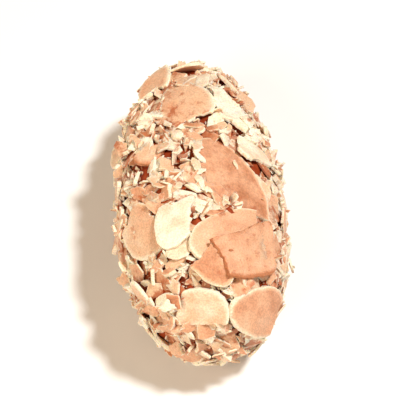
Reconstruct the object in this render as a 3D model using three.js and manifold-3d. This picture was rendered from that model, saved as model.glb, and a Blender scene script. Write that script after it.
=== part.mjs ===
// An almond truffle: an oblong of chocolate rolled in flaked almonds, which broke as they were pressed on.
// Millimetres and degrees, +Z up. The truffle lies on its flat side with its long axis along Y.
// The origin is on the surface that it lies on, under the middle of the chocolate body.
import * as THREE from "three";
import { mergeVertices } from "three/addons/utils/BufferGeometryUtils.js";
import Module from "manifold-3d";

const { degToRad, lerp, seededRandom } = THREE.MathUtils;

// The chocolate body under the almonds
const BODY_LENGTH = 45.5;
const BODY_WIDTH = 20.8;
const BODY_HEIGHT = 19.8;
const BASE_PRESS = 0.7; // depth that lying on its side has pressed flat
const BLUNTNESS = 0.84; // 1 would be an ellipsoid, and less makes the ends blunter
const TAPER = 0.13; // share by which the far end is slimmer, and the near end fuller
const AXIS_HEIGHT = BODY_HEIGHT / 2 - BASE_PRESS;
const BODY_ROUND = 26; // facets round the girth
const BODY_LONG = 20; // facets from end to end
// Low swellings of the body: how often each comes along it and round it, where, and its share of the girth
const SWELLINGS = [
  { along: 2, around: 1, phase: 20, height: 0.03 },
  { along: 3, around: 2, phase: 130, height: 0.035 },
  { along: 5, around: 3, phase: 250, height: 0.022 },
];

// The flaked almonds
const FLAKE_THICKNESS = 1.0;
const POINTEDNESS = 0.22; // how much slimmer a whole slice is towards its tip
const LIFT_BY_LEAN = 0.2; // share of a leaning flake's rise that lifts its middle off the body
const FLAKE_SPACING = 0.7; // share of its reach that a flake keeps free round its middle
const SHOWN_SPACING = 1.1; // the same for the slices that show best
const PLACES_TRIED = 40; // places drawn for each flake, of which the roomiest is taken
const SEED = 116;

// The slices that show best. Each is at a distance along the body and an angle round its girth, with 90 as
// the top. It starts as a whole slice of its size, a length and a breadth, and each break cuts it off
// straight at a direction and a distance from its middle. Its turn is heading, pitch and roll: heading 0
// points its tip to the far end.
const SHOWN_SLICES = [
  { at: [19.3, 97], size: [6, 4.2], turn: [82, 8, 34], lift: 0.2, breaks: [[-90, 1.5]] },
  { at: [12, 98], size: [10.6, 7.6], turn: [20, 4, -5], lift: 0.1, breaks: [[170, 4.2]] },
  { at: [18, 131], size: [7, 5.4], turn: [-20, -8, 14], lift: 0.4, breaks: [[200, 2.1]] },
  { at: [11.6, 63], size: [6.4, 5.4], turn: [60, -8, 8], lift: 0.2, breaks: [[20, 2.1], [250, 1.8]] },
  { at: [8.3, 57], size: [5.8, 4.8], turn: [65, 9, 10], lift: 0.4, breaks: [[190, 1.9], [80, 1.6]] },
  { at: [2.9, 43], size: [7.8, 5.2], turn: [75, -6, 10], lift: 0.2, breaks: [[0, 2.9], [120, 1.8]] },
  { at: [-1.8, 68], size: [19, 13], turn: [6, -2, -3], lift: 0.1, breaks: [[92, 2.5], [176, 3.5]] },
  { at: [-9.1, 138], size: [9.8, 7.8], turn: [30, -3, 4], lift: 0.1, breaks: [[15, 3.8], [265, 2.8]] },
  { at: [-9.8, 111], size: [8.8, 6.4], turn: [154, -4, 0], lift: 0.5, breaks: [[211, 3.1], [105, 2.3]] },
  { at: [-12.2, 77], size: [14.4, 10.6], turn: [97, 3, 5], lift: -0.2, breaks: [[90, 3], [180, 3.6]] },
  { at: [-14.3, 59], size: [14, 9], turn: [121, 1, 4], lift: 0.9, breaks: [[0, 4.8], [154, 5], [270, 2.8]] },
  { at: [-16.6, 89], size: [8.2, 6.2], turn: [207, 3, 5], lift: 1, breaks: [[198, 1.9], [95, 1.6]] },
  { at: [-18.8, 138], size: [4.4, 3], turn: [61, 9, 6], lift: 0.3, breaks: [[190, 1.8]] },
  { at: [-20.6, 103], size: [8.4, 6.8], turn: [70, 5, -6], lift: 0.2, breaks: [[100, 2.1], [350, 3]] },
  { at: [-20.2, 34], size: [11, 7.2], turn: [113, -3, 3], lift: 0.2, breaks: [[170, 4.3]] },
  { at: [-18.4, 64], size: [4.4, 3.6], turn: [40, 12, -10], lift: 0.5, breaks: [[200, 1.3]] },
];
const SHOWN_SIDES = 12;

// The other flakes, the largest first: how many, the least and most of their whole length, of their breadth
// as a share of it and of their lift off the body, and their corners, breaks and largest lean
const FLAKE_KINDS = [
  { count: 9, length: [8, 10], breadth: [0.62, 0.8], sides: 10, breaks: 2, lean: 12, lift: [0, 0.3] },
  { count: 40, length: [4.8, 7], breadth: [0.6, 0.86], sides: 7, breaks: 2, lean: 24, lift: [0, 0.35] },
  { count: 110, length: [3.2, 4.8], breadth: [0.6, 0.92], sides: 4, breaks: 1, lean: 42, lift: [0, 0.4] },
];
const BREAK_REACH = [0.3, 0.75]; // least and most distance of a break, as a share of half the breadth
const LEAN_RARITY = 1.6; // the higher it is, the fewer flakes lean much

const wasm = await Module();
wasm.setup();

// A closed geometry as a solid that can be joined and cut.
function solidOf(geometry) {
  geometry.deleteAttribute("normal");
  geometry.deleteAttribute("uv");
  const merged = mergeVertices(geometry);
  return new wasm.Manifold(
    new wasm.Mesh({
      numProp: 3,
      vertProperties: merged.getAttribute("position").array,
      triVerts: new Uint32Array(merged.index.array),
    }),
  );
}

function geometryOf(solid) {
  const mesh = solid.getMesh();
  const geometry = new THREE.BufferGeometry();
  geometry.setAttribute("position", new THREE.BufferAttribute(mesh.vertProperties, mesh.numProp));
  geometry.setIndex(new THREE.BufferAttribute(mesh.triVerts, 1));
  geometry.computeVertexNormals();
  return geometry;
}

const blunted = (value, power) => Math.sign(value) * Math.abs(value) ** power;

// How far the body swells at a place, as a share of its girth. It fades out at both ends.
function swelling(along, around) {
  const wave = (s) => s.height * Math.cos(s.along * along + s.around * around + degToRad(s.phase));
  return Math.sin(along) * SWELLINGS.reduce((sum, s) => sum + wave(s), 0);
}

// A point of the body, at angles in radians: along runs from the far end to the near one, and around from +X
// over the top.
function bodyPoint(along, around) {
  const lengthwise = blunted(Math.cos(along), BLUNTNESS);
  const girth =
    blunted(Math.sin(along), BLUNTNESS) * (1 - TAPER * lengthwise) * (1 + swelling(along, around));
  return new THREE.Vector3(
    (BODY_WIDTH / 2) * girth * Math.cos(around),
    (BODY_LENGTH / 2) * lengthwise,
    (BODY_HEIGHT / 2) * girth * Math.sin(around) + AXIS_HEIGHT,
  );
}

// The place that a distance along the body and a girth angle name.
function placeAt([y, girth]) {
  return { along: Math.acos(blunted((2 * y) / BODY_LENGTH, 1 / BLUNTNESS)), around: degToRad(girth) };
}

// Axes that lie on the body at a place: x to the far end, y round to the left and z outwards.
function restingAxes({ along, around }) {
  const step = 0.01;
  const x = bodyPoint(along - step, around).sub(bodyPoint(along + step, around)).normalize();
  const left = bodyPoint(along, around + step).sub(bodyPoint(along, around - step));
  const z = x.clone().cross(left).normalize();
  return new THREE.Matrix4().makeBasis(x, z.clone().cross(x), z);
}

function bodyGeometry() {
  const geometry = new THREE.SphereGeometry(1, BODY_ROUND, BODY_LONG);
  const position = geometry.getAttribute("position");
  const point = new THREE.Vector3();
  for (let i = 0; i < position.count; i++) {
    point.fromBufferAttribute(position, i);
    const along = Math.acos(THREE.MathUtils.clamp(point.y, -1, 1));
    position.setXYZ(i, ...bodyPoint(along, Math.atan2(point.z, point.x)));
  }
  return geometry;
}

// The outline of a whole almond slice, with its slimmer tip towards +x.
function wholeSlice([length, breadth], sides) {
  return Array.from({ length: sides }, (_, i) => {
    const angle = (2 * Math.PI * i) / sides;
    const slimmer = 1 - POINTEDNESS * Math.cos(angle);
    return new THREE.Vector2((length / 2) * Math.cos(angle), (breadth / 2) * slimmer * Math.sin(angle));
  });
}

// The outline that is left when what lies past a straight break is gone.
function brokenOff(outline, [direction, distance]) {
  const normal = new THREE.Vector2(Math.cos(degToRad(direction)), Math.sin(degToRad(direction)));
  const past = (point) => point.dot(normal) - distance;
  return outline.flatMap((point, i) => {
    const next = outline[(i + 1) % outline.length];
    const kept = past(point) <= 0 ? [point] : [];
    const crosses = past(point) * past(next) < 0;
    return crosses ? [...kept, point.clone().lerp(next, past(point) / (past(point) - past(next)))] : kept;
  });
}

// The outline of a flake round its own middle: a whole slice with its breaks taken off.
function flakeOutline(flake) {
  const whole = wholeSlice(flake.size, flake.sides);
  const outline = flake.breaks.reduce(brokenOff, whole);
  const middle = new THREE.Box2().setFromPoints(outline).getCenter(new THREE.Vector2());
  return outline.map((point) => point.clone().sub(middle));
}

// Lays a flake on the body at its place, with its turn. One that leans is lifted by a share of its rise, so
// that its low side still sinks in.
function laidOn(flake) {
  const [heading, pitch, roll] = flake.turn.map(degToRad);
  const [length, breadth] = flake.size;
  const rise = (length * Math.abs(Math.sin(pitch)) + breadth * Math.abs(Math.sin(roll))) / 2;
  const axes = restingAxes(flake.place);
  const outwards = new THREE.Vector3().setFromMatrixColumn(axes, 2);
  const middle = flake.point.clone().addScaledVector(outwards, flake.lift + LIFT_BY_LEAN * rise);
  const turned = new THREE.Matrix4().makeRotationFromEuler(new THREE.Euler(roll, pitch, heading, "ZYX"));
  const shape = new THREE.Shape(flake.outline);
  const plate = new THREE.ExtrudeGeometry(shape, { depth: FLAKE_THICKNESS, bevelEnabled: false });
  plate.translate(0, 0, -FLAKE_THICKNESS / 2);
  return plate.applyMatrix4(axes.multiply(turned).setPosition(middle));
}

const drawn = ([low, high]) => lerp(low, high, seededRandom());

// Of several places drawn at random, the one with the most room to the flakes already there.
function roomiestPlace(flakes) {
  const draw = () => {
    const along = Math.acos(drawn([1, -1]));
    const around = 2 * Math.PI * seededRandom();
    const point = bodyPoint(along, around);
    const rooms = flakes.map((flake) => flake.point.distanceTo(point) - flake.keptFree);
    return { along, around, room: Math.min(...rooms) };
  };
  const places = Array.from({ length: PLACES_TRIED }, draw);
  return places.reduce((best, place) => (place.room > best.room ? place : best));
}

const drawnLean = (most) => most * blunted(drawn([-1, 1]), LEAN_RARITY);

function drawnFlake(kind, flakes) {
  const place = roomiestPlace(flakes);
  const length = drawn(kind.length);
  const breadth = length * drawn(kind.breadth);
  const turn = [drawn([0, 360]), drawnLean(kind.lean), drawnLean(kind.lean)];
  const lift = drawn(kind.lift);
  const drawnBreak = () => [drawn([0, 360]), (breadth / 2) * drawn(BREAK_REACH)];
  const breaks = Array.from({ length: kind.breaks }, drawnBreak);
  return { place, size: [length, breadth], turn, lift, breaks, sides: kind.sides };
}

function allFlakes() {
  const flakes = [];
  const add = (flake, spacing) => {
    const outline = flakeOutline(flake);
    const reach = outline.reduce((sum, point) => sum + point.length(), 0) / outline.length;
    const point = bodyPoint(flake.place.along, flake.place.around);
    flakes.push({ ...flake, outline, point, keptFree: spacing * reach });
  };
  for (const slice of SHOWN_SLICES) {
    add({ ...slice, place: placeAt(slice.at), sides: SHOWN_SIDES }, SHOWN_SPACING);
  }
  seededRandom(SEED);
  for (const kind of FLAKE_KINDS) {
    for (let i = 0; i < kind.count; i++) add(drawnFlake(kind, flakes), FLAKE_SPACING);
  }
  return flakes;
}

// What lies under the surface that the truffle rests on
function groundGeometry() {
  const side = 2 * BODY_LENGTH;
  return new THREE.BoxGeometry(side, side, side).translate(0, 0, -side / 2);
}

// The body and its flakes as one solid. Pockets that the flakes close are filled, and loose scraps dropped.
function truffleGeometry() {
  const flakes = allFlakes().map((flake) => solidOf(laidOn(flake)));
  const fused = wasm.Manifold.union([solidOf(bodyGeometry()), ...flakes]);
  const bodies = fused.subtract(solidOf(groundGeometry())).decompose();
  return geometryOf(bodies.reduce((largest, body) => (body.volume() > largest.volume() ? body : largest)));
}

const almond = new THREE.MeshStandardMaterial({ color: 0xe2b48a, roughness: 0.62, metalness: 0 });
const truffle = new THREE.Mesh(truffleGeometry(), almond);
truffle.name = "truffle";

const almondTruffle = new THREE.Group();
almondTruffle.add(truffle);

export default almondTruffle;
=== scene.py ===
"""An almond truffle: an oblong of chocolate rolled in broken flaked almonds, lying on its flat side.

Lengths in the functions are millimetres and angles degrees, unless a name says otherwise.
The flakes follow the same rule and random draws as the solids, so that each lies where its solid does.
"""

import math
from collections import namedtuple

import bmesh
import bpy
import numpy as np
from bpy.props import FloatProperty, FloatVectorProperty, IntProperty, PointerProperty
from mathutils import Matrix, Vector
from mathutils.bvhtree import BVHTree
from numpy.linalg import norm


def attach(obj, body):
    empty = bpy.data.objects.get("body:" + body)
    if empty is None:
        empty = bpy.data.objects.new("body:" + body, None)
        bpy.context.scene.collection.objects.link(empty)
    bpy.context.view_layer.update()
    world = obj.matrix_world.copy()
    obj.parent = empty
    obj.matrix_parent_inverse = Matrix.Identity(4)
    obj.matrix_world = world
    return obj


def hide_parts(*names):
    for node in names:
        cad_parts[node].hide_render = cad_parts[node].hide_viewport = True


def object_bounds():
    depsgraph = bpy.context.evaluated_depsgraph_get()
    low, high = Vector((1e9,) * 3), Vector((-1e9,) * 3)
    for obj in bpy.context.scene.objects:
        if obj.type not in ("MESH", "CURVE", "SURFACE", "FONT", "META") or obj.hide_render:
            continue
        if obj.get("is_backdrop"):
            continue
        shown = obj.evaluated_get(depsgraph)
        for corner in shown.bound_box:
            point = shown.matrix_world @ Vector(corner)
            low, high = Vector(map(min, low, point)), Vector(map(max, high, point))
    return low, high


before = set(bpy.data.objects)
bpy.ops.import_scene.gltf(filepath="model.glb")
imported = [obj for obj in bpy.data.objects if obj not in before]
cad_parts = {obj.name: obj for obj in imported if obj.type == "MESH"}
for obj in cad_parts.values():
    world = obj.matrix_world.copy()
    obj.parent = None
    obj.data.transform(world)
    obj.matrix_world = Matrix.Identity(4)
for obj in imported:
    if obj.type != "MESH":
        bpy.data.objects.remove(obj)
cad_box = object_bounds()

bl_info = {
    "name": "Almond truffle",
    "version": (1, 0, 0),
    "blender": (4, 5, 0),
    "location": "View3D > Sidebar > Truffle",
    "description": "Makes an oblong chocolate truffle rolled in broken flaked almonds",
    "category": "Add Mesh",
}

MM = 0.001  # one millimetre in metres
NODE = "truffle"  # the solid that all the pieces replace

# The pieces in the order of making, the seeds of their draws, and the seeds of looks drawn apart
PIECES = (
    "chocolate_core",
    "almond_slices",
    "almond_pieces",
    "almond_shards",
    "almond_chips",
    "almond_splinters",
    "almond_crumbs",
    "almond_top_chips",
)
SEEDS = dict(zip(PIECES, (3, 11, 14, 12, 422, 421, 431, 51)))
LOOK_SEEDS = {"almond_chips": 24, "almond_splinters": 23, "almond_crumbs": 33}

# Low swellings of the body: how often each comes along and round it, its phase and its share of the girth
SWELLINGS = ((2, 1, 20, 0.03), (3, 2, 130, 0.035), (5, 3, 250, 0.022))

# The rule of the flakes, the same as the solids'
POINTEDNESS = 0.22  # how much slimmer a whole slice is towards its tip
LIFT_BY_LEAN = 0.2  # share of a leaning flake's rise that lifts its middle off the body
FLAKE_SPACING = 0.7  # share of its reach that a flake keeps free round its middle
SHOWN_SPACING = 1.1  # the same for the slices that show best
PLACES_TRIED = 40  # places drawn for each flake, of which the roomiest is taken
BREAK_REACH = (0.3, 0.75)  # least and most distance of a break, as a share of half the breadth
LEAN_RARITY = 1.6  # the higher it is, the fewer flakes lean much
FLAKE_SEED = 116
SHOWN_SIDES = 12
PALE_HIGHLIGHT, SKINNED = 1, -1  # signs of a pale rim, partly paler almond and partly a painted highlight, and of one with its brown skin left

# The slices that show best: place along the body and round its girth, whole size, heading, pitch and roll,
# lift, straight breaks as a direction and a distance, how toasted, how filmed with chocolate, and the rim
SHOWN_SLICES = (
    ((19.3, 97), (6, 4.2), (82, 8, 34), 0.2, ((-90, 1.5),), 0.60, 0.10, PALE_HIGHLIGHT),
    ((12, 98), (10.6, 7.6), (20, 4, -5), 0.1, ((170, 4.2),), 0.46, 0.20, PALE_HIGHLIGHT),
    ((18, 131), (7, 5.4), (-20, -8, 14), 0.4, ((200, 2.1),), 0.50, 0.15, PALE_HIGHLIGHT),
    ((11.6, 63), (6.4, 5.4), (60, -8, 8), 0.2, ((20, 2.1), (250, 1.8)), 0.00, 0.00, PALE_HIGHLIGHT),
    ((8.3, 57), (5.8, 4.8), (65, 9, 10), 0.4, ((190, 1.9), (80, 1.6)), 0.02, 0.00, PALE_HIGHLIGHT),
    ((2.9, 43), (7.8, 5.2), (75, -6, 10), 0.2, ((0, 2.9), (120, 1.8)), 0.20, 0.00, PALE_HIGHLIGHT),
    ((-1.8, 68), (19, 13), (6, -2, -3), 0.1, ((92, 2.5), (176, 3.5)), 0.78, 0.05, PALE_HIGHLIGHT),
    ((-9.1, 138), (9.8, 7.8), (30, -3, 4), 0.1, ((15, 3.8), (265, 2.8)), 0.42, 0.16, PALE_HIGHLIGHT),
    ((-9.8, 111), (8.8, 6.4), (154, -4, 0), 0.5, ((211, 3.1), (105, 2.3)), 0.04, 0.00, PALE_HIGHLIGHT),
    ((-12.2, 77), (14.4, 10.6), (97, 3, 5), -0.2, ((90, 3), (180, 3.6)), 0.60, 0.04, PALE_HIGHLIGHT),
    ((-14.3, 59), (14, 9), (121, 1, 4), 0.9, ((0, 4.8), (154, 5), (270, 2.8)), 0.68, 0.18, SKINNED),
    ((-16.6, 89), (8.2, 6.2), (207, 3, 5), 1, ((198, 1.9), (95, 1.6)), 0.80, 0.20, PALE_HIGHLIGHT),
    ((-18.8, 138), (4.4, 3), (61, 9, 6), 0.3, ((190, 1.8),), 0.00, 0.00, PALE_HIGHLIGHT),
    ((-20.6, 103), (8.4, 6.8), (70, 5, -6), 0.2, ((100, 2.1), (350, 3)), 0.31, 0.00, PALE_HIGHLIGHT),
    ((-20.2, 34), (11, 7.2), (113, -3, 3), 0.2, ((170, 4.3),), 0.66, 0.07, PALE_HIGHLIGHT),
    ((-18.4, 64), (4.4, 3.6), (40, 12, -10), 0.5, ((200, 1.3),), 0.75, 0.40, PALE_HIGHLIGHT),
)

# The other flakes: piece, how many, whole length, breadth as a share of it, sides, breaks, lean and lift
FLAKE_KINDS = (
    ("almond_slices", 9, (8, 10), (0.62, 0.8), 10, 2, 12, (0, 0.3)),
    ("almond_pieces", 40, (4.8, 7), (0.6, 0.86), 7, 2, 24, (0, 0.35)),
    ("almond_shards", 110, (3.2, 4.8), (0.6, 0.92), 4, 1, 42, (0, 0.4)),
)

# How a flake is formed from its outline
WHOLE_SIDES = 72  # points on the outline of a whole slice
OUTLINE_STEP, FEWEST_POINTS = 0.34, 18  # on a flake's outline
NEAR_BREAK = 0.12  # an outline is broken so near to a break
BROKEN_ROUGHNESS, WHOLE_ROUGHNESS = 1.0, 0.4  # how ragged a rim is
BROKEN_ABOVE = 0.5  # a rim more ragged than this is a broken one
THICKNESS_SHARES = (0.42, 0.7)  # least and most thickness, as shares of the solid flake's
NICK_SPACING, FEWEST_NICKS = 1.6, 4  # in a ragged rim
LONG_NICKS, FINE_NICKS = 0.88, 0.12  # shares of long and of fine nicks in it
MOST_INSET = 0.4  # the most of its reach that a rim goes inwards
MOST_ROUNDED = 0.35  # the most of its reach that is worn round
SLANT = 0.1  # how unevenly the side of a broken rim slants
FACE_STEP, FEWEST_RINGS = 0.75, 2  # of the rings of points on a face
BAND_WIDTH = 0.65  # of the band along a rim
PALE_HIGHLIGHT_BAND, PLAIN_BAND = 0.95, 0.1  # how much this band has of the rim's colour, for a pale rim partly a painted highlight
RELIEF = ((8.0, 0.16), (3.4, 0.07), (1.3, 0.03))  # wavelengths and heights of a flake's unevenness
FLAKE_SHARP = 40  # edges sharper than this stay sharp

# How toasted flakes are, how much chocolate is on them, and how much shade is painted where they lie deep
FLAKE_TOAST, FLAKE_FILM = (1.9, 1.6), (1.0, 6.0)  # beta curves that they are drawn from
MOST_TOAST = 0.85  # how toasted the most toasted drawn flake is
PATCHINESS = 0.24  # how much more toasted a flake may be at one side than at the other
SKINNED_SHARE = 0.25  # share of the flakes with brown skin left on their rim
FILM_AND_SHADE_DEPTH = 0.75  # how far up from the body the flakes are smeared with chocolate and painted with shade
SMALL_FILM_AND_SHADE_DEPTH = 1.05  # the same for the small pieces between them
SUNK_FILM_AND_SHADE = 0.6  # how much chocolate films what is sunk in the coat: partly real chocolate, partly painted shade deep in the gaps

# Lumps of the core's coat: wavelength, number of waves and share of the height
CORE_LUMPS = ((5.0, 14, 1.0), (2.2, 18, 0.6), (0.9, 24, 0.25))

# Share of the small pieces that stay where they fall, for each of the pieces under them
CHIPS_KEPT = dict(zip(PIECES, (1.0, 0.03, 0.2, 0.2)))
SPLINTERS_KEPT = dict(zip(PIECES, (1.0, 0.002, 0.01, 0.03, 0.03)))
CRUMBS_KEPT = dict(zip(PIECES, (1.0, 0.003, 0.01, 0.02, 0.015, 0.04)))
LEAST_HEIGHT = 0.5  # nothing small stays lower than this
NEAR_RIM = 0.05  # a face is at a rim above this rim value
CRUMBLY_SPOT = (2, 116)  # place along the body and round its girth where only splinters and crumbs lie
CRUMBLY_REACH = 5.0  # how far they reach from there

# Small flakes: points on the outline, breadth as a share of the length, lift, share of a tilted one's
# length that lifts it more, and the beta curves of how toasted and how filmed they are
SmallFlakes = namedtuple("SmallFlakes", "points breadth lift lift_by_tilt toast film")
CHIP = SmallFlakes(20, (0.5, 0.95), 0.05, 0.15, (0.85, 1.25), (1.0, 4.0))
SPLINTER = SmallFlakes(12, (0.4, 0.9), 0.10, 0.20, (0.75, 1.35), (1.0, 3.8))
SMALL_ROUGHNESS = 0.35  # how ragged a small flake's rim is
SMALL_THINNESS = (0.4, 0.7)  # least and most thickness, as shares of a large flake's
ON_EDGE_SHARE = 0.42  # share of the splinters on the core that stand on their edge

# Chips that lie on top of the rest: place along the body and round its girth, size, heading, how toasted
TOP_CHIPS = (
    ((3.3, 96), (3.2, 2.0), 60, 0.10),
    ((1.8, 92), (3.8, 2.2), -25, 0.16),
    ((0.1, 92), (3.0, 1.7), 40, 0.08),
    ((-1.5, 94), (3.6, 2.1), 10, 0.22),
    ((-2.7, 91), (2.6, 1.5), -50, 0.12),
    ((-4.2, 93), (3.4, 2.0), 25, 0.14),
    ((-5.8, 89), (2.4, 1.4), 70, 0.10),
    ((6.2, 92), (3.8, 1.8), 80, 0.85),
    ((7.0, 100), (2.4, 1.8), 60, 0.05),
    ((-19.3, 131), (3.8, 2.8), 70, 0.00),
    ((-10.4, 26), (3.4, 1.5), 5, 0.00),
)

# The stage, in metres: each light's place, width and colour
KEY_LIGHT = ((0.17, -0.03, 0.40), 0.07, (1.0, 0.97, 0.92))
FILL_LIGHT = ((-0.24, -0.26, 0.24), 0.30, (1.0, 0.84, 0.64))
SKY_COLOUR = (1.0, 0.69, 0.45)


class ChocolateBodySizes(bpy.types.PropertyGroup):
    """Sizes and colours of the chocolate under the almonds"""

    length: FloatProperty(name="Length", description="From end to end", default=0.0455, unit="LENGTH")
    width: FloatProperty(name="Width", description="Across the middle", default=0.0208, unit="LENGTH")
    height: FloatProperty(name="Height", description="Before pressing", default=0.0198, unit="LENGTH")
    base_press: FloatProperty(
        name="Base press", description="Depth that lying has pressed flat", default=0.0007, unit="LENGTH"
    )
    bluntness: FloatProperty(
        name="Bluntness", description="1 is an ellipsoid, and less makes blunter ends", default=0.84
    )
    taper: FloatProperty(name="Taper", description="Share by which the far end is slimmer", default=0.13)
    lump_height: FloatProperty(name="Lumps", description="Height of lumps", default=0.00028, unit="LENGTH")
    dark: FloatVectorProperty(
        name="Dark chocolate", description="In the hollows", default=(0.25, 0.036, 0.010), subtype="COLOR"
    )
    light: FloatVectorProperty(
        name="Light chocolate", description="On the lumps", default=(0.34, 0.064, 0.018), subtype="COLOR"
    )


class FlakedAlmondSizes(bpy.types.PropertyGroup):
    """Sizes, numbers and colours of the flaked almonds"""

    thickness: FloatProperty(name="Thickness", description="Of a slice", default=0.001, unit="LENGTH")
    rim_round: FloatProperty(name="Rim round", description="Wear of a rim", default=0.00008, unit="LENGTH")
    nick_depth: FloatProperty(name="Nicks", description="Depth in rims", default=0.0008, unit="LENGTH")
    hug: FloatProperty(name="Hug", description="Bend round the body", default=0.42, subtype="FACTOR")
    chips: IntProperty(name="Chips", description="Number of thin flat chips", default=420)
    splinters: IntProperty(name="Splinters", description="Number of small thin pieces", default=650)
    crumbs: IntProperty(name="Crumbs", description="Number of crumbs", default=700)
    cream: FloatVectorProperty(
        name="Cream", description="Untoasted almond", default=(0.95, 0.88, 0.72), subtype="COLOR"
    )
    golden: FloatVectorProperty(
        name="Golden", description="Lightly toasted almond", default=(0.81, 0.54, 0.36), subtype="COLOR"
    )
    tan: FloatVectorProperty(
        name="Tan", description="Well toasted almond", default=(0.74, 0.397, 0.242), subtype="COLOR"
    )
    brown: FloatVectorProperty(
        name="Brown", description="Darkest toasted almond", default=(0.50, 0.20, 0.093), subtype="COLOR"
    )
    # The colour of the chocolate film, also used for the shade painted where the almonds lie deep in the
    # gaps
    film: FloatVectorProperty(
        name="Film", description="Chocolate on the almonds", default=(0.40, 0.107, 0.037), subtype="COLOR"
    )


class StudioSizes(bpy.types.PropertyGroup):
    """Camera, light and floor"""

    azimuth: FloatProperty(
        name="Azimuth", description="Of the camera", default=math.radians(-4.5), subtype="ANGLE"
    )
    elevation: FloatProperty(
        name="Elevation", description="Of the camera", default=math.radians(52.5), subtype="ANGLE"
    )
    distance: FloatProperty(name="Distance", description="Camera to truffle", default=0.31, unit="LENGTH")
    lens: FloatProperty(name="Lens", description="Focal length in millimetres", default=206)
    key_power: FloatProperty(name="Key light", description="Its power", default=2.0, unit="POWER")
    fill_power: FloatProperty(name="Fill light", description="Its power", default=1.3, unit="POWER")
    sky: FloatProperty(name="Sky", description="Strength of the light from all round", default=0.27)
    floor: FloatVectorProperty(
        name="Floor", description="Colour of the floor", default=(0.82, 0.85, 0.88), subtype="COLOR"
    )


def settings():
    scene = bpy.context.scene
    return scene.chocolate_body, scene.flaked_almonds, scene.truffle_studio


def new_object(name, data):
    made = bpy.data.objects.new(name, data)
    bpy.context.scene.collection.objects.link(made)
    return made


class SeededDraws:
    """The run of random numbers between 0 and 1 that the solids' rule draws."""

    def __init__(self, seed):
        self.state = seed
        self.draw()  # setting the seed uses up the first number

    def draw(self):
        mask = 0xFFFFFFFF
        self.state = (self.state + 0x6D2B79F5) & mask
        mixed = ((self.state ^ (self.state >> 15)) * (self.state | 1)) & mask
        mixed ^= (mixed + (((mixed ^ (mixed >> 7)) * (mixed | 61)) & mask)) & mask
        return (mixed ^ (mixed >> 14)) / (mask + 1)

    def between(self, limits):
        return limits[0] + (limits[1] - limits[0]) * self.draw()

    def lean(self, most):
        """An angle to either side, more often a small one than a large one."""
        return most * float(blunted(self.between((-1, 1)), LEAN_RARITY))


def blunted(value, power):
    """A power of a value that keeps the value's sign."""
    return np.sign(value) * np.abs(value) ** power


def unit(vectors):
    return vectors / norm(vectors, axis=-1, keepdims=True)


class ChocolateBody:
    """The rounded body that the almonds lie on."""

    def __init__(self):
        sizes, _, _ = settings()
        self.length, self.width, self.height = sizes.length / MM, sizes.width / MM, sizes.height / MM
        self.bluntness, self.taper = sizes.bluntness, sizes.taper
        self.axis_height = self.height / 2 - sizes.base_press / MM

    def point(self, along, around):
        """Points at angles in radians: along from the far end, and around from +X over the top."""
        waves = (h * np.cos(a * along + r * around + math.radians(p)) for a, r, p, h in SWELLINGS)
        lengthwise = blunted(np.cos(along), self.bluntness)
        girth = blunted(np.sin(along), self.bluntness) * (1 - self.taper * lengthwise)
        girth = girth * (1 + np.sin(along) * sum(waves))
        x = self.width / 2 * girth * np.cos(around)
        y = self.length / 2 * lengthwise * np.ones_like(girth)
        z = self.height / 2 * girth * np.sin(around) + self.axis_height
        return np.stack([x, y, z], axis=-1)

    def place(self, y, girth):
        """The angles, in radians, of a distance along the body and a girth angle."""
        return math.acos(float(blunted(2 * y / self.length, 1 / self.bluntness))), math.radians(girth)

    def axes(self, along, around):
        """Axes that lie on the body, as columns: to the far end, round to the left, and outwards."""
        step = 0.01
        x = unit(self.point(along - step, around) - self.point(along + step, around))
        left = self.point(along, around + step) - self.point(along, around - step)
        z = unit(np.cross(x, left))
        return np.stack([x, np.cross(z, x), z], axis=-1)

    def sunk(self, points, depth):
        """How far points are sunk in the coat: 1 on the body or in it, and 0 above the coat's depth."""
        middle = (0, 0, self.axis_height)
        x, y, z = ((points - middle) * 2 / (self.width, self.length, self.height)).T
        girth = np.hypot(x, z) / (1 - self.taper * np.clip(y, -1, 1))
        along = np.arctan2(blunted(girth, 1 / self.bluntness), blunted(y, 1 / self.bluntness))
        surface = self.point(along, np.arctan2(z, x))
        height = norm(points - middle, axis=1) - norm(surface - middle, axis=1)
        return np.clip(1 - height / depth, 0, 1)

    def bend(self, hug):
        """The bend of a flake that follows the body's round by a share."""
        return hug / (self.width + self.height) * 2


def about(axis, angle):
    """The turn about one axis: 0 for x, 1 for y and 2 for z."""
    turn = np.eye(3)
    first, second = (axis + 1) % 3, (axis + 2) % 3
    turn[first, first] = turn[second, second] = np.cos(np.radians(angle))
    turn[second, first] = np.sin(np.radians(angle))
    turn[first, second] = -turn[second, first]
    return turn


def turned(heading, pitch, roll):
    """The turn that rolls about x, then pitches about y, then heads about z."""
    return about(2, heading) @ about(1, pitch) @ about(0, roll)


def random_turn(normal, random, most_tilt):
    """Axes whose z leans off a normal by up to a tilt, turned at random about it."""
    side = unit(np.cross(normal, unit(random.normal(size=3))))
    base = np.stack([side, np.cross(normal, side), normal], axis=-1)
    return base @ turned(random.uniform(0, 360), *(most_tilt * random.uniform(-1, 1, 2)))


def leaning(normal, random, tilt):
    """Axes whose z leans off a normal by a tilt to a random side, turned at random about themselves."""
    return random_turn(normal, random, 0) @ turned(0, tilt, 0) @ turned(random.uniform(0, 360), 0, 0)


def whole_slice(size, sides):
    """The outline of a whole almond slice, with its slimmer tip towards +x."""
    angle = 2 * np.pi * np.arange(sides) / sides
    length, breadth = size
    slimmer = 1 - POINTEDNESS * np.cos(angle)
    return np.stack([length / 2 * np.cos(angle), breadth / 2 * slimmer * np.sin(angle)], axis=1)


def past_break(outline, direction, distance):
    """How far each point of an outline lies past a straight break."""
    return outline @ np.array([np.cos(np.radians(direction)), np.sin(np.radians(direction))]) - distance


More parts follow.
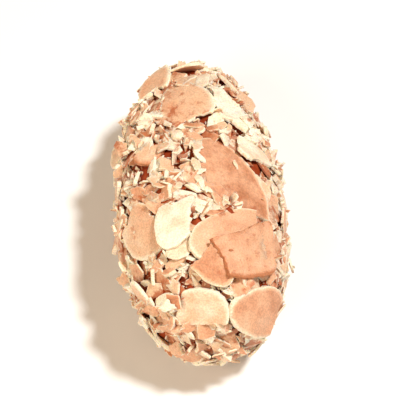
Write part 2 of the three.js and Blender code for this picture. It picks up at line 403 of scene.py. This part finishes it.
def broken_off(outline, breaks):
    """The outline that is left when what lies past each straight break is gone."""
    for direction, distance in breaks:
        past = past_break(outline, direction, distance)
        kept = []
        for here, there, out, out_there in zip(outline, np.roll(outline, -1, 0), past, np.roll(past, -1)):
            if out <= 0:
                kept.append(here)
            if out * out_there < 0:
                kept.append(here + (there - here) * out / (out - out_there))
        outline = np.array(kept)
    return outline


def perimeter(outline):
    return norm(outline - np.roll(outline, 1, 0), axis=1).sum()


def evenly_spaced(outline, count):
    """As many points as asked for, evenly spaced along a closed outline."""
    closed = np.vstack([outline, outline[:1]])
    reached = np.concatenate([[0], np.cumsum(norm(np.diff(closed, axis=0), axis=1))])
    steps = np.linspace(0, reached[-1], count, endpoint=False)
    return np.stack([np.interp(steps, reached, closed[:, k]) for k in (0, 1)], axis=1)


def inset(outline, depth, most):
    """An outline drawn in towards its middle by a depth, but by no more than a share of the way."""
    reach = norm(outline, axis=1)
    return outline * (1 - np.minimum(depth / reach, most))[:, None]


class Flake:
    """A flake of the solids: its piece, how it lies, its outline, and its looks if they are set."""

    def __init__(self, piece, body, place, size, turn, lift, breaks, sides, spacing):
        self.piece, self.place, self.point = piece, place, body.point(*place)
        self.size, self.turn, self.lift, self.breaks = size, turn, lift, breaks
        self.outline = broken_off(whole_slice(size, sides), breaks)
        self.middle = (self.outline.min(0) + self.outline.max(0)) / 2
        self.kept_free = spacing * float(np.mean(norm(self.outline - self.middle, axis=1)))
        self.toast, self.film, self.skin = None, None, None

    def laid_on(self, body):
        """The turn and the middle of the flake on the body."""
        heading, pitch, roll = self.turn
        length, breadth = self.size
        steep, banked = abs(math.sin(math.radians(pitch))), abs(math.sin(math.radians(roll)))
        rise = (length * steep + breadth * banked) / 2
        axes = body.axes(*self.place)
        middle = self.point + axes[:, 2] * (self.lift + LIFT_BY_LEAN * rise)
        return axes @ turned(heading, pitch, roll), middle

    def fine_outline(self):
        """The outline in closer points round its middle, and how ragged the rim is at each of them."""
        shard = self.piece == "almond_shards"
        outline = self.outline if shard else broken_off(whole_slice(self.size, WHOLE_SIDES), self.breaks)
        outline = evenly_spaced(outline, max(FEWEST_POINTS, round(perimeter(outline) / OUTLINE_STEP)))
        broken = [np.abs(past_break(outline, *cut)) < NEAR_BREAK for cut in self.breaks]
        rough = np.where(np.any(broken, axis=0) | shard, BROKEN_ROUGHNESS, WHOLE_ROUGHNESS)
        return outline - self.middle, rough


def all_flakes(body):
    """Every flake of the solids: the shown slices, then the drawn ones with the largest first."""
    flakes = []
    for at, size, turn, lift, breaks, *looks in SHOWN_SLICES:
        place = body.place(*at)
        flake = Flake("almond_slices", body, place, size, turn, lift, breaks, SHOWN_SIDES, SHOWN_SPACING)
        flake.toast, flake.film, flake.skin = looks
        flakes.append(flake)
    draws = SeededDraws(FLAKE_SEED)
    for piece, count, lengths, breadths, sides, break_count, lean, lifts in FLAKE_KINDS:
        for _ in range(count):
            place = roomiest_place(body, flakes, draws)
            length = draws.between(lengths)
            breadth = length * draws.between(breadths)
            turn = (draws.between((0, 360)), draws.lean(lean), draws.lean(lean))
            lift = draws.between(lifts)
            breaks = []
            for _ in range(break_count):
                breaks.append((draws.between((0, 360)), breadth / 2 * draws.between(BREAK_REACH)))
            size = (length, breadth)
            flakes.append(Flake(piece, body, place, size, turn, lift, breaks, sides, FLAKE_SPACING))
    return flakes


def roomiest_place(body, flakes, draws):
    """Of several places drawn at random, the one with the most room to the flakes already there."""
    places = np.array([
        (math.acos(draws.between((1, -1))), 2 * math.pi * draws.draw()) for _ in range(PLACES_TRIED)
    ])
    points = body.point(places[:, 0], places[:, 1])
    taken = np.array([flake.point for flake in flakes])
    kept_free = np.array([flake.kept_free for flake in flakes])
    rooms = norm(points[:, None] - taken[None], axis=2) - kept_free
    return tuple(places[int(np.argmax(rooms.min(1)))])


class Waves:
    """A soft random relief between about -1 and 1: the sum of a few plane waves."""

    def __init__(self, random, wavelength, count=9):
        directions = unit(random.normal(size=(count, 3)))
        wavelengths = wavelength * random.uniform(0.6, 1.5, size=(count, 1))
        self.pushes = directions * (2 * np.pi / wavelengths)
        self.phases = random.uniform(0, 2 * np.pi, count)

    def at(self, points):
        return np.cos(points @ self.pushes.T + self.phases).sum(1) * math.sqrt(2 / len(self.phases)) / 2


class PieceMesh:
    """Gathers many small closed forms into one mesh, with the values that their finish reads."""

    def __init__(self):
        self.points, self.faces, self.count = [], [], 0
        self.values = {"grain": [], "toast": [], "film": [], "rim": []}

    def add(self, points, faces, grain, toast, film, rim):
        self.points.append(points)
        self.faces.extend([tuple(i + self.count for i in face) for face in faces])
        self.count += len(points)
        self.values["grain"].append(grain)
        for name, value in (("toast", toast), ("film", film), ("rim", rim)):
            self.values[name].append(np.broadcast_to(np.asarray(value, float), (len(points),)))

    def make(self, name, material, slot, sharp_angle=FLAKE_SHARP):
        points = np.concatenate(self.points)
        points[:, 2] = np.maximum(points[:, 2], 0)  # nothing reaches below what the truffle lies on
        mesh = bpy.data.meshes.new(name)
        mesh.from_pydata((points * MM).tolist(), [], self.faces)
        for key, chunks in self.values.items():
            values = np.concatenate(chunks)
            kind, field = ("FLOAT_VECTOR", "vector") if values.ndim == 2 else ("FLOAT", "value")
            layer = mesh.attributes.new(key, kind, "POINT")
            layer.data.foreach_set(field, values.astype(np.float32).ravel())
        mesh.shade_smooth()
        mesh.set_sharp_from_angle(angle=math.radians(sharp_angle))
        mesh.materials.append(material)
        piece = new_object(name, mesh)
        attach(piece, "root")
        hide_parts(NODE)


def ringed_form(rings):
    """A closed form from rings of points: its faces are two fans and the bands between the rings."""
    count = len(rings[0])
    points = np.vstack([rings[0].mean(0), *rings, rings[-1].mean(0)])
    around = np.arange(count)
    after = (around + 1) % count
    faces = [(0, 1 + i, 1 + j) for i, j in zip(around, after)]
    for k in range(len(rings) - 1):
        upper, lower = 1 + k * count, 1 + (k + 1) * count
        faces += [(upper + i, lower + i, lower + j, upper + j) for i, j in zip(around, after)]
    start, end = 1 + (len(rings) - 1) * count, len(points) - 1
    faces += [(end, start + j, start + i) for i, j in zip(around, after)]
    return points, faces


def jagged(outline, random):
    """Depths between 0 and 1 at the points of an outline, straight between corners a little way apart."""
    count = len(outline)
    corners = max(FEWEST_NICKS, round(perimeter(outline) / NICK_SPACING))
    places = np.sort(random.uniform(0, count, corners))
    depths = random.random(corners)
    return np.interp(np.arange(count), places, depths, period=count)


def flake_form(outline, rough, sizes, random, bend, skin=PALE_HIGHLIGHT, broken_skin=PALE_HIGHLIGHT, band=PALE_HIGHLIGHT_BAND):
    """The points, faces, grain and rim of a flake round its own middle, ragged, uneven and bent.

    The rim is how near the rim each point is, with the sign of broken_skin where the rim is broken and of
    skin where it is whole.
    """
    count = len(outline)
    thick = sizes.thickness / MM * random.uniform(*THICKNESS_SHARES)
    top = sizes.thickness / MM / 2
    nicks = LONG_NICKS * jagged(outline, random) + FINE_NICKS * np.abs(random.normal(size=count))
    edge = inset(outline, sizes.nick_depth / MM * rough * nicks, MOST_INSET)
    face = inset(edge, sizes.rim_round / MM, MOST_ROUNDED)
    inner = inset(edge, BAND_WIDTH, MOST_INSET)
    reach = norm(edge, axis=1, keepdims=True)
    slant = edge * (1 + SLANT * random.normal(size=(count, 1)) * rough[:, None] / reach)
    inner_rings = max(FEWEST_RINGS, round(float(reach.mean()) / FACE_STEP))
    broken = rough > BROKEN_ABOVE
    # Broken rims carry little of the pale rim colour onto the face and whole rims most of it; that pale
    # colour is partly a painted highlight
    banded = np.where(broken, PLAIN_BAND, band)
    # Each ring's outline, its height in thicknesses off the top, and how near the rim it is
    rings = [(inner * share, 0.0, 0.0) for share in np.linspace(0, 1, inner_rings + 1)[1:]]
    rings += [
        (face, 0.0, banded),
        (edge, -0.12, 1.0),
        (slant, -0.85, 1.0),
        (face, -1.0, banded),
        (face * 0.55, -1.0, 0.0),
    ]
    levels = [np.column_stack([ring, np.full(count, top + height * thick)]) for ring, height, _ in rings]
    points, faces = ringed_form(levels)
    signs = np.where(broken, broken_skin, skin)
    rim = np.concatenate([[0], *(nearness * signs for _, _, nearness in rings), [0]])
    relief = sum(Waves(random, wavelength).at(points) * height for wavelength, height in RELIEF)
    grain = points.copy()
    points[:, 2] += relief * (points[:, 2] > top - thick / 2)
    points[:, 2] -= bend * (points[:, 0] ** 2 + points[:, 1] ** 2)
    return points, faces, grain, rim


def uneven_toast(points, random):
    """How much more or less toasted the points of a flake are: a rise to a random side."""
    angle = random.uniform(0, 2 * math.pi)
    across = points[:, 0] * math.cos(angle) + points[:, 1] * math.sin(angle)
    return PATCHINESS * random.random() * across / np.abs(across).max()


def shifted(grain, random):
    """A grain of its own for one form, so that no two forms are mottled alike."""
    return grain + random.uniform(-99, 99, 3)


def make_flakes(name):
    """Makes the piece of that name from its flakes, each lying where its solid does."""
    _, sizes, _ = settings()
    body = ChocolateBody()
    random = np.random.default_rng(SEEDS[name])
    piece = PieceMesh()
    for flake in all_flakes(body):
        if flake.piece != name:
            continue
        outline, rough = flake.fine_outline()
        drawn_skin = SKINNED if random.random() < SKINNED_SHARE else PALE_HIGHLIGHT
        skins = (flake.skin or drawn_skin, flake.skin or PALE_HIGHLIGHT)
        points, faces, grain, rim = flake_form(outline, rough, sizes, random, body.bend(sizes.hug), *skins)
        turn, middle = flake.laid_on(body)
        toast = MOST_TOAST * random.beta(*FLAKE_TOAST) if flake.toast is None else flake.toast
        film = random.beta(*FLAKE_FILM) if flake.film is None else flake.film
        toast = toast + uneven_toast(points, random)
        points = points @ turn.T + middle
        # Chocolate film where the flake lies low in the coat, partly real chocolate and partly painted
        # shade in the gaps between the flakes
        film = film + SUNK_FILM_AND_SHADE * body.sunk(points, FILM_AND_SHADE_DEPTH)
        piece.add(points, faces, shifted(grain, random), toast, film, rim)
    piece.make(name, almond_finish(), "almond")


def surface_under(names):
    """A tree of the named pieces' faces, and for each face its piece and if it is at a rim."""
    points, faces, owners, at_rim = [], [], [], []
    for name in names:
        mesh = bpy.data.objects[name].data
        start = len(points)
        points += [vertex.co / MM for vertex in mesh.vertices]
        faces += [[start + i for i in polygon.vertices] for polygon in mesh.polygons]
        owners += [name] * len(mesh.polygons)
        rims = [abs(item.value) > NEAR_RIM for item in mesh.attributes["rim"].data]
        at_rim += [any(rims[i] for i in polygon.vertices) for polygon in mesh.polygons]
    return BVHTree.FromPolygons(points, faces), owners, at_rim


def dropped_at(tree, body, along, around):
    """Where what falls straight in lands: the point, the way outwards, the face's normal and the face."""
    outwards = body.axes(along, around)[:, 2]
    drop = 8
    start = body.point(along, around) + outwards * drop
    point, normal, face, _ = tree.ray_cast(Vector(start), Vector(-outwards))
    if point is None or point.z < LEAST_HEIGHT:
        return None
    return np.array(point), outwards, np.array(normal), face


def chip_outline(length, breadth, count, random):
    """The outline of a small broken piece with a few uneven corners."""
    corners = random.integers(4, 7)
    shifts = random.uniform(-0.33, 0.33, corners)
    angle = 2 * np.pi * (np.arange(corners) + shifts) / corners
    polygon = np.stack([length / 2 * np.cos(angle), breadth / 2 * np.sin(angle)], axis=1)
    return evenly_spaced(polygon, count)


class Strewing:
    """A piece of many small forms that are strewn at random on the pieces that are there already."""

    def __init__(self, name, kept):
        _, self.sizes, _ = settings()
        self.body = ChocolateBody()
        self.name, self.kept, self.piece = name, kept, PieceMesh()
        self.random = np.random.default_rng(SEEDS[name])
        self.looks = np.random.default_rng(LOOK_SEEDS[name])
        self.tree, self.owners, self.at_rim = surface_under(kept)

    def places(self, count, fits=None):
        """Random places, as many as asked for: point, way outwards, face's normal, and if on the core."""
        found = 0
        while found < count:
            along = math.acos(self.random.uniform(-1, 1))
            place = dropped_at(self.tree, self.body, along, self.random.uniform(0, 2 * math.pi))
            if place is None:
                continue
            point, outwards, normal, face = place
            if self.random.random() > self.kept[self.owners[face]]:
                continue
            on_core = self.owners[face] == "chocolate_core"
            if fits is None or fits(point, on_core, self.at_rim[face]):
                found += 1
                yield point, outwards, normal, on_core

    def lay_flake(self, kind, point, outwards, normal, lengths, tilts, bend):
        """Lays a small flake at a point, tilted off a normal to a random side."""
        random = self.random
        length = random.uniform(*lengths)
        outline = chip_outline(length, length * random.uniform(*kind.breadth), kind.points, random)
        rough = np.full(kind.points, SMALL_ROUGHNESS)
        points, faces, grain, rim = flake_form(outline, rough, self.sizes, random, bend, band=PLAIN_BAND)
        tilt = random.uniform(*tilts)
        turn = leaning(normal, random, tilt)
        lift = kind.lift + kind.lift_by_tilt * length * math.sin(math.radians(tilt))
        points = points * (1, 1, random.uniform(*SMALL_THINNESS))
        toast, film = self.looks.beta(*kind.toast), self.looks.beta(*kind.film)
        self.add(points, faces, grain, turn, point + outwards * lift, toast, film, rim)

    def add(self, points, faces, grain, turn, middle, toast, film, rim):
        """Adds one form at its place, filmed with chocolate where it is sunk in the coat, which also
        paints shade deep in the gaps.
        """
        points = points @ turn.T + middle
        # Partly real chocolate film and partly painted shade where the form lies deep between the flakes
        film = film + SUNK_FILM_AND_SHADE * self.body.sunk(points, SMALL_FILM_AND_SHADE_DEPTH)
        self.piece.add(points, faces, shifted(grain, self.random), toast, film, rim)

    def make(self, sharp_angle=FLAKE_SHARP):
        self.piece.make(self.name, almond_finish(), "almond", sharp_angle)


def crumb_forms(random):
    """Angular crumbs of about unit size: hulls of a few random points."""
    forms, form_count, corners, flatness = [], 40, 10, (1, 0.75, 0.4)
    for _ in range(form_count):
        hull = bmesh.new()
        directions = unit(random.normal(size=(corners, 3)))
        reaches = random.uniform(0.32, 0.56, size=(corners, 1))
        for spot in directions * reaches * flatness:
            hull.verts.new(spot)
        result = bmesh.ops.convex_hull(hull, input=hull.verts)
        loose = [item for item in result["geom_interior"] if isinstance(item, bmesh.types.BMVert)]
        bmesh.ops.delete(hull, geom=loose, context="VERTS")
        hull.verts.index_update()
        points = np.array([vertex.co for vertex in hull.verts])
        faces = [tuple(vertex.index for vertex in face.verts) for face in hull.faces]
        forms.append((points, faces))
        hull.free()
    return forms


def new_material(name):
    material = bpy.data.materials.new(name)
    material.use_nodes = True
    return material, material.node_tree, material.node_tree.nodes["Principled BSDF"]


def node(tree, kind, **values):
    """A shader node in the next place, with its properties and the values of its inputs set."""
    columns, width, height = 6, 200, 300
    row, column = divmod(len(tree.nodes), columns)
    made = tree.nodes.new(kind)
    made.location = ((column - columns) * width, -row * height)
    for key, value in values.items():
        if hasattr(made, key):
            setattr(made, key, value)
        else:
            made.inputs[key.replace("_", " ").title()].default_value = value
    return made


def attribute(tree, name, output="Fac"):
    return node(tree, "ShaderNodeAttribute", attribute_name=name).outputs[output]


def feed(tree, value, socket):
    """Links a socket to an input, or sets the input to a number or a colour."""
    if isinstance(value, bpy.types.NodeSocket):
        tree.links.new(value, socket)
    else:
        socket.default_value = (*value, 1) if socket.type == "RGBA" else value


def mixed(tree, factor, first, second, blend="MIX"):
    """Mixes two colours by a factor, each a socket or fixed."""
    mix = node(tree, "ShaderNodeMix", data_type="RGBA", blend_type=blend)
    for index, value in ((0, factor), (6, first), (7, second)):
        feed(tree, value, mix.inputs[index])
    return mix.outputs[2]


def computed(tree, operation, *values, clamp=False):
    """A sum, product or other operation of values, each a socket or a number."""
    math_node = node(tree, "ShaderNodeMath", operation=operation, use_clamp=clamp)
    for index, value in enumerate(values):
        feed(tree, value, math_node.inputs[index])
    return math_node.outputs[0]


def noise(tree, vector, scale, detail, roughness=0.55):
    texture = node(tree, "ShaderNodeTexNoise", scale=scale, detail=detail, roughness=roughness)
    tree.links.new(vector, texture.inputs["Vector"])
    return texture.outputs["Fac"]


def spread(tree, value, low, high):
    """A value stretched so that low becomes 0 and high becomes 1."""
    stretch = node(tree, "ShaderNodeMapRange", from_min=low, from_max=high)
    tree.links.new(value, stretch.inputs["Value"])
    return stretch.outputs["Result"]


def bumped(tree, shader, height, strength, distance):
    bump = node(tree, "ShaderNodeBump", strength=strength, distance=distance * MM)
    tree.links.new(height, bump.inputs["Height"])
    tree.links.new(bump.outputs["Normal"], shader.inputs["Normal"])


def almond_finish():
    """Toasted flaked almond: cream to brown by how toasted it is, mottled and filmed with chocolate, with
    a painted highlight on the pale rims and painted shade where it lies deep in the gaps.
    """
    name = "toasted_almond"
    if name in bpy.data.materials:
        return bpy.data.materials[name]
    _, sizes, _ = settings()
    material, tree, shader = new_material(name)
    grain = attribute(tree, "grain", "Vector")
    rim = attribute(tree, "rim")

    # How toasted: mottled, less at pale rims, partly paler almond and partly a painted highlight, and more
    # at brown ones
    mottle = spread(tree, noise(tree, grain, scale=0.42, detail=3), 0.3, 0.7)
    mottled = computed(tree, "MULTIPLY_ADD", mottle, 0.34, -0.17)
    toasted = computed(tree, "ADD", attribute(tree, "toast"), mottled)
    # Paler along pale rims: partly the almond's own paler edge, partly a painted highlight where thin
    # edges catch the light
    pale_highlight_rim = computed(tree, "MULTIPLY_ADD", rim, -0.85, 1, clamp=True)
    toasted = computed(tree, "MULTIPLY", toasted, pale_highlight_rim)
    brown_rim = computed(tree, "MULTIPLY", rim, -0.5, clamp=True)
    toasted = computed(tree, "ADD", toasted, brown_rim, clamp=True)
    ramp = node(tree, "ShaderNodeValToRGB")
    tree.links.new(toasted, ramp.inputs["Fac"])
    stops = ((0.0, sizes.cream), (0.36, sizes.golden), (0.70, sizes.tan), (1.0, sizes.brown))
    for index, (position, colour) in enumerate(stops):
        stop = ramp.color_ramp.elements[index] if index < 2 else ramp.color_ramp.elements.new(position)
        stop.position, stop.color = position, (*colour, 1)

    # Fine darker cells, and smears of chocolate where the film is thick, which near the body are also
    # painted shade in the gaps
    cells = noise(tree, grain, scale=4.2, detail=2)
    speckle = spread(tree, cells, 0.36, 0.64)
    colour = mixed(tree, 0.24, ramp.outputs["Color"], speckle, "MULTIPLY")
    smear_and_shade = spread(tree, noise(tree, grain, scale=0.75, detail=4, roughness=0.65), 0.34, 0.66)
    smear_and_shade = computed(tree, "ADD", smear_and_shade, attribute(tree, "film"))
    smear_and_shade = spread(tree, smear_and_shade, 0.95, 1.35)
    smear_and_shade = computed(tree, "MULTIPLY", smear_and_shade, 0.85, clamp=True)
    # The film colour laid over the almond: chocolate smears, and painted shade where the forms lie deep
    colour = mixed(tree, smear_and_shade, colour, sizes.film)
    tree.links.new(colour, shader.inputs["Base Color"])

    roughness = computed(tree, "MULTIPLY_ADD", speckle, 0.16, 0.50)
    tree.links.new(roughness, shader.inputs["Roughness"])
    bumped(tree, shader, cells, strength=0.5, distance=0.12)
    shader.inputs["Specular IOR Level"].default_value = 0.25
    shader.inputs["Subsurface Weight"].default_value = 0.3
    shader.inputs["Subsurface Radius"].default_value = (1.0, 0.55, 0.28)
    shader.inputs["Subsurface Scale"].default_value = 0.8 * MM
    return material


def chocolate_finish():
    """Milk chocolate: darker and lighter in random patches, satin, with a fine uneven skin."""
    sizes, _, _ = settings()
    material, tree, shader = new_material("milk_chocolate")
    grain = attribute(tree, "grain", "Vector")
    lumps = spread(tree, noise(tree, grain, scale=0.55, detail=4), 0.35, 0.68)
    tree.links.new(mixed(tree, lumps, sizes.dark, sizes.light), shader.inputs["Base Color"])
    skin = noise(tree, grain, scale=2.6, detail=4)
    roughness = computed(tree, "MULTIPLY_ADD", skin, 0.3, 0.30)
    tree.links.new(roughness, shader.inputs["Roughness"])
    bumped(tree, shader, skin, strength=0.6, distance=0.2)
    shader.inputs["Specular IOR Level"].default_value = 0.12
    return material


class TruffleStep:
    """What all the steps share: each can be undone."""

    bl_options = {"REGISTER", "UNDO"}


class TRUFFLE_OT_chocolate_core(TruffleStep, bpy.types.Operator):
    """Makes the lumpy chocolate body under the almonds"""

    bl_idname = "truffle.chocolate_core"
    bl_label = "Chocolate core"

    def execute(self, context):
        sizes, _, _ = settings()
        body = ChocolateBody()
        random = np.random.default_rng(SEEDS["chocolate_core"])
        lumps = [(Waves(random, wavelength, count), share) for wavelength, count, share in CORE_LUMPS]
        long_rings, round_points = 110, 150
        around = 2 * np.pi * np.arange(round_points) / round_points
        rings = []
        for along in np.linspace(0, math.pi, long_rings + 2)[1:-1]:
            ring = body.point(np.full(round_points, along), around)
            outwards = np.array([body.axes(along, angle)[:, 2] for angle in around])
            height = sum(share * waves.at(ring) for waves, share in lumps) * sizes.lump_height / MM
            rings.append(ring + outwards * height[:, None])
        points, faces = ringed_form(rings)
        core = PieceMesh()
        core.add(points, faces, points, 0, 0, 0)
        core.make("chocolate_core", chocolate_finish(), "chocolate", sharp_angle=180)
        return {"FINISHED"}


class TRUFFLE_OT_almond_slices(TruffleStep, bpy.types.Operator):
    """Makes the large slices of almond, whole or broken"""

    bl_idname = "truffle.almond_slices"
    bl_label = "Almond slices"

    def execute(self, context):
        make_flakes("almond_slices")
        return {"FINISHED"}


class TRUFFLE_OT_almond_pieces(TruffleStep, bpy.types.Operator):
    """Makes the middling flakes, slices that broke in pieces"""

    bl_idname = "truffle.almond_pieces"
    bl_label = "Almond pieces"

    def execute(self, context):
        make_flakes("almond_pieces")
        return {"FINISHED"}


class TRUFFLE_OT_almond_shards(TruffleStep, bpy.types.Operator):
    """Makes the smaller flakes, broken all round"""

    bl_idname = "truffle.almond_shards"
    bl_label = "Almond shards"

    def execute(self, context):
        make_flakes("almond_shards")
        return {"FINISHED"}


class TRUFFLE_OT_almond_chips(TruffleStep, bpy.types.Operator):
    """Strews thin flat chips on bare chocolate and over the rims of the flakes"""

    bl_idname = "truffle.almond_chips"
    bl_label = "Almond chips"

    def execute(self, context):
        chips = Strewing("almond_chips", CHIPS_KEPT)
        sizes, body = chips.sizes, chips.body
        crumbly_spot = body.point(*body.place(*CRUMBLY_SPOT))
        bend = body.bend(sizes.hug)

        def fits(point, on_core, at_rim):
            return norm(point - crumbly_spot) >= CRUMBLY_REACH if on_core else at_rim

        for point, outwards, normal, on_core in chips.places(sizes.chips, fits):
            lengths = (2.4, 5.4) if on_core else (1.8, 3.6)
            upright = unit(normal + 2 * outwards)
            chips.lay_flake(CHIP, point, outwards, upright, lengths, tilts=(0, 24), bend=bend)
        chips.make()
        return {"FINISHED"}


class TRUFFLE_OT_almond_splinters(TruffleStep, bpy.types.Operator):
    """Strews small thin pieces at all angles, mostly where the chocolate still shows"""

    bl_idname = "truffle.almond_splinters"
    bl_label = "Almond splinters"

    def execute(self, context):
        splinters = Strewing("almond_splinters", SPLINTERS_KEPT)
        for point, outwards, _, on_core in splinters.places(splinters.sizes.splinters):
            lengths = (1.8, 4.2) if on_core else (1.2, 2.4)
            tilts = (0, 26)
            if on_core and splinters.random.random() < ON_EDGE_SHARE:
                lengths, tilts = (1.3, 2.9), (50, 82)
            splinters.lay_flake(SPLINTER, point, outwards, outwards, lengths, tilts, bend=0)
        splinters.make()
        return {"FINISHED"}


class TRUFFLE_OT_almond_crumbs(TruffleStep, bpy.types.Operator):
    """Strews crumbs of almond and chocolate, mostly in the gaps between the flakes"""

    bl_idname = "truffle.almond_crumbs"
    bl_label = "Almond crumbs"

    def execute(self, context):
        crumbs = Strewing("almond_crumbs", CRUMBS_KEPT)
        random, looks = crumbs.random, crumbs.looks
        forms = crumb_forms(random)
        for point, outwards, _, on_core in crumbs.places(crumbs.sizes.crumbs):
            size = 0.45 + 1.2 * random.random() ** 2 if on_core else random.uniform(0.4, 0.9)
            points, faces = forms[random.integers(len(forms))]
            stretch = random.uniform(0.8, 1.2, 3)
            points = points * size * stretch
            turn = random_turn(outwards, random, most_tilt=70)
            middle = point + outwards * size * random.uniform(0.05, 0.22)
            chocolate_share = 0.26 if on_core else 0.10
            chocolate = looks.random() < chocolate_share
            film = looks.uniform(0.6, 1.0) if chocolate else looks.beta(1.0, 5.0)
            toast = looks.beta(0.75, 1.2)
            crumbs.add(points, faces, points, turn, middle, toast, film, rim=0.4)
        crumbs.make(sharp_angle=20)
        return {"FINISHED"}


class TRUFFLE_OT_almond_top_chips(TruffleStep, bpy.types.Operator):
    """Lays the chips that lie on top of the rest where they show best"""

    bl_idname = "truffle.almond_top_chips"
    bl_label = "Almond top chips"

    def execute(self, context):
        _, sizes, _ = settings()
        body = ChocolateBody()
        random = np.random.default_rng(SEEDS["almond_top_chips"])
        tree, _, _ = surface_under(PIECES[:5])  # all but the splinters and crumbs
        rough = np.full(CHIP.points, BROKEN_ROUGHNESS)
        piece = PieceMesh()
        for at, (length, breadth), heading, toast in TOP_CHIPS:
            place = body.place(*at)
            point, outwards, _, _ = dropped_at(tree, body, *place)
            outline = chip_outline(length, breadth, CHIP.points, random)
            points, faces, grain, rim = flake_form(outline, rough, sizes, random, body.bend(sizes.hug))
            points = points * (1, 1, random.uniform(*SMALL_THINNESS))
            lean, lift = random.uniform(-12, 12, 2), 0.2
            turn = body.axes(*place) @ turned(heading, *lean)
            points = points @ turn.T + point + outwards * lift
            piece.add(points, faces, shifted(grain, random), toast, 0.0, rim)
        piece.make("almond_top_chips", almond_finish(), "almond")
        return {"FINISHED"}


def make_floor(colour):
    half = 1.5
    corners = [(-half, -half, 0), (half, -half, 0), (half, half, 0), (-half, half, 0)]
    mesh = bpy.data.meshes.new("floor")
    mesh.from_pydata(corners, [], [(0, 1, 2, 3)])
    paper, _, shader = new_material("pale_floor")
    shader.inputs["Base Color"].default_value = (*colour, 1)
    shader.inputs["Roughness"].default_value = 0.9
    mesh.materials.append(paper)
    floor = new_object("floor", mesh)
    floor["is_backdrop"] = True


def make_sky(strength):
    world = bpy.data.worlds.new("soft_sky")
    world.use_nodes = True
    sky = world.node_tree.nodes["Background"]
    sky.inputs["Color"].default_value = (*SKY_COLOUR, 1)
    sky.inputs["Strength"].default_value = strength
    bpy.context.scene.world = world


def make_light(name, light, power, target):
    place, size, colour = light
    data = bpy.data.lights.new(name, "AREA")
    data.shape, data.size, data.energy, data.color = "DISK", size, power, colour
    lamp = new_object(name, data)
    lamp.location = place
    lamp.rotation_euler = (Vector(target) - Vector(place)).to_track_quat("-Z", "Y").to_euler()


def make_camera(studio, target):
    data = bpy.data.cameras.new("camera")
    data.lens = studio.lens
    data.clip_start, data.clip_end = 0.01, 10
    camera = new_object("camera", data)
    a, e = studio.azimuth, studio.elevation
    back = Vector((math.sin(a) * math.cos(e), -math.cos(a) * math.cos(e), math.sin(e)))
    camera.location = target + back * studio.distance
    camera.rotation_euler = (-back).to_track_quat("-Z", "Y").to_euler()
    bpy.context.scene.camera = camera


class TRUFFLE_OT_studio_stage(TruffleStep, bpy.types.Operator):
    """Makes the pale floor, the soft light and the camera"""

    bl_idname = "truffle.studio_stage"
    bl_label = "Studio stage"

    def execute(self, context):
        _, _, studio = settings()
        middle = (cad_box[0] + cad_box[1]) / 2
        make_floor(studio.floor)
        make_sky(studio.sky)
        make_light("key_light", KEY_LIGHT, studio.key_power, middle)
        make_light("fill_light", FILL_LIGHT, studio.fill_power, middle)
        make_camera(studio, middle)
        context.scene.view_settings.view_transform = "Standard"
        return {"FINISHED"}


class TRUFFLE_PT_maker(bpy.types.Panel):
    """Lists the sizes of the truffle and the steps that make it"""

    bl_idname = "TRUFFLE_PT_maker"
    bl_label = "Almond truffle"
    bl_space_type = "VIEW_3D"
    bl_region_type = "UI"
    bl_category = "Truffle"

    def draw(self, context):
        for group in settings():
            box = self.layout.box()
            for key in group.__annotations__:
                box.prop(group, key)
        for operator in OPERATORS:
            self.layout.operator(operator.bl_idname)


GROUPS = {
    "chocolate_body": ChocolateBodySizes,
    "flaked_almonds": FlakedAlmondSizes,
    "truffle_studio": StudioSizes,
}
OPERATORS = (
    TRUFFLE_OT_chocolate_core,
    TRUFFLE_OT_almond_slices,
    TRUFFLE_OT_almond_pieces,
    TRUFFLE_OT_almond_shards,
    TRUFFLE_OT_almond_chips,
    TRUFFLE_OT_almond_splinters,
    TRUFFLE_OT_almond_crumbs,
    TRUFFLE_OT_almond_top_chips,
    TRUFFLE_OT_studio_stage,
)


def register():
    for item in (*GROUPS.values(), *OPERATORS, TRUFFLE_PT_maker):
        bpy.utils.register_class(item)
    for name, group in GROUPS.items():
        setattr(bpy.types.Scene, name, PointerProperty(type=group))


def unregister():
    for name in GROUPS:
        delattr(bpy.types.Scene, name)
    for item in (TRUFFLE_PT_maker, *reversed(OPERATORS), *reversed(GROUPS.values())):
        bpy.utils.unregister_class(item)


def main():
    register()
    bpy.ops.truffle.chocolate_core()
    bpy.ops.truffle.almond_slices()
    bpy.ops.truffle.almond_pieces()
    bpy.ops.truffle.almond_shards()
    bpy.ops.truffle.almond_chips()
    bpy.ops.truffle.almond_splinters()
    bpy.ops.truffle.almond_crumbs()
    bpy.ops.truffle.almond_top_chips()
    bpy.ops.truffle.studio_stage()
    boxes = {"cad": cad_box, "visual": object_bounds()}
    {name: [list(corner) for corner in box] for name, box in boxes.items()}


if __name__ == "__main__":
    main()
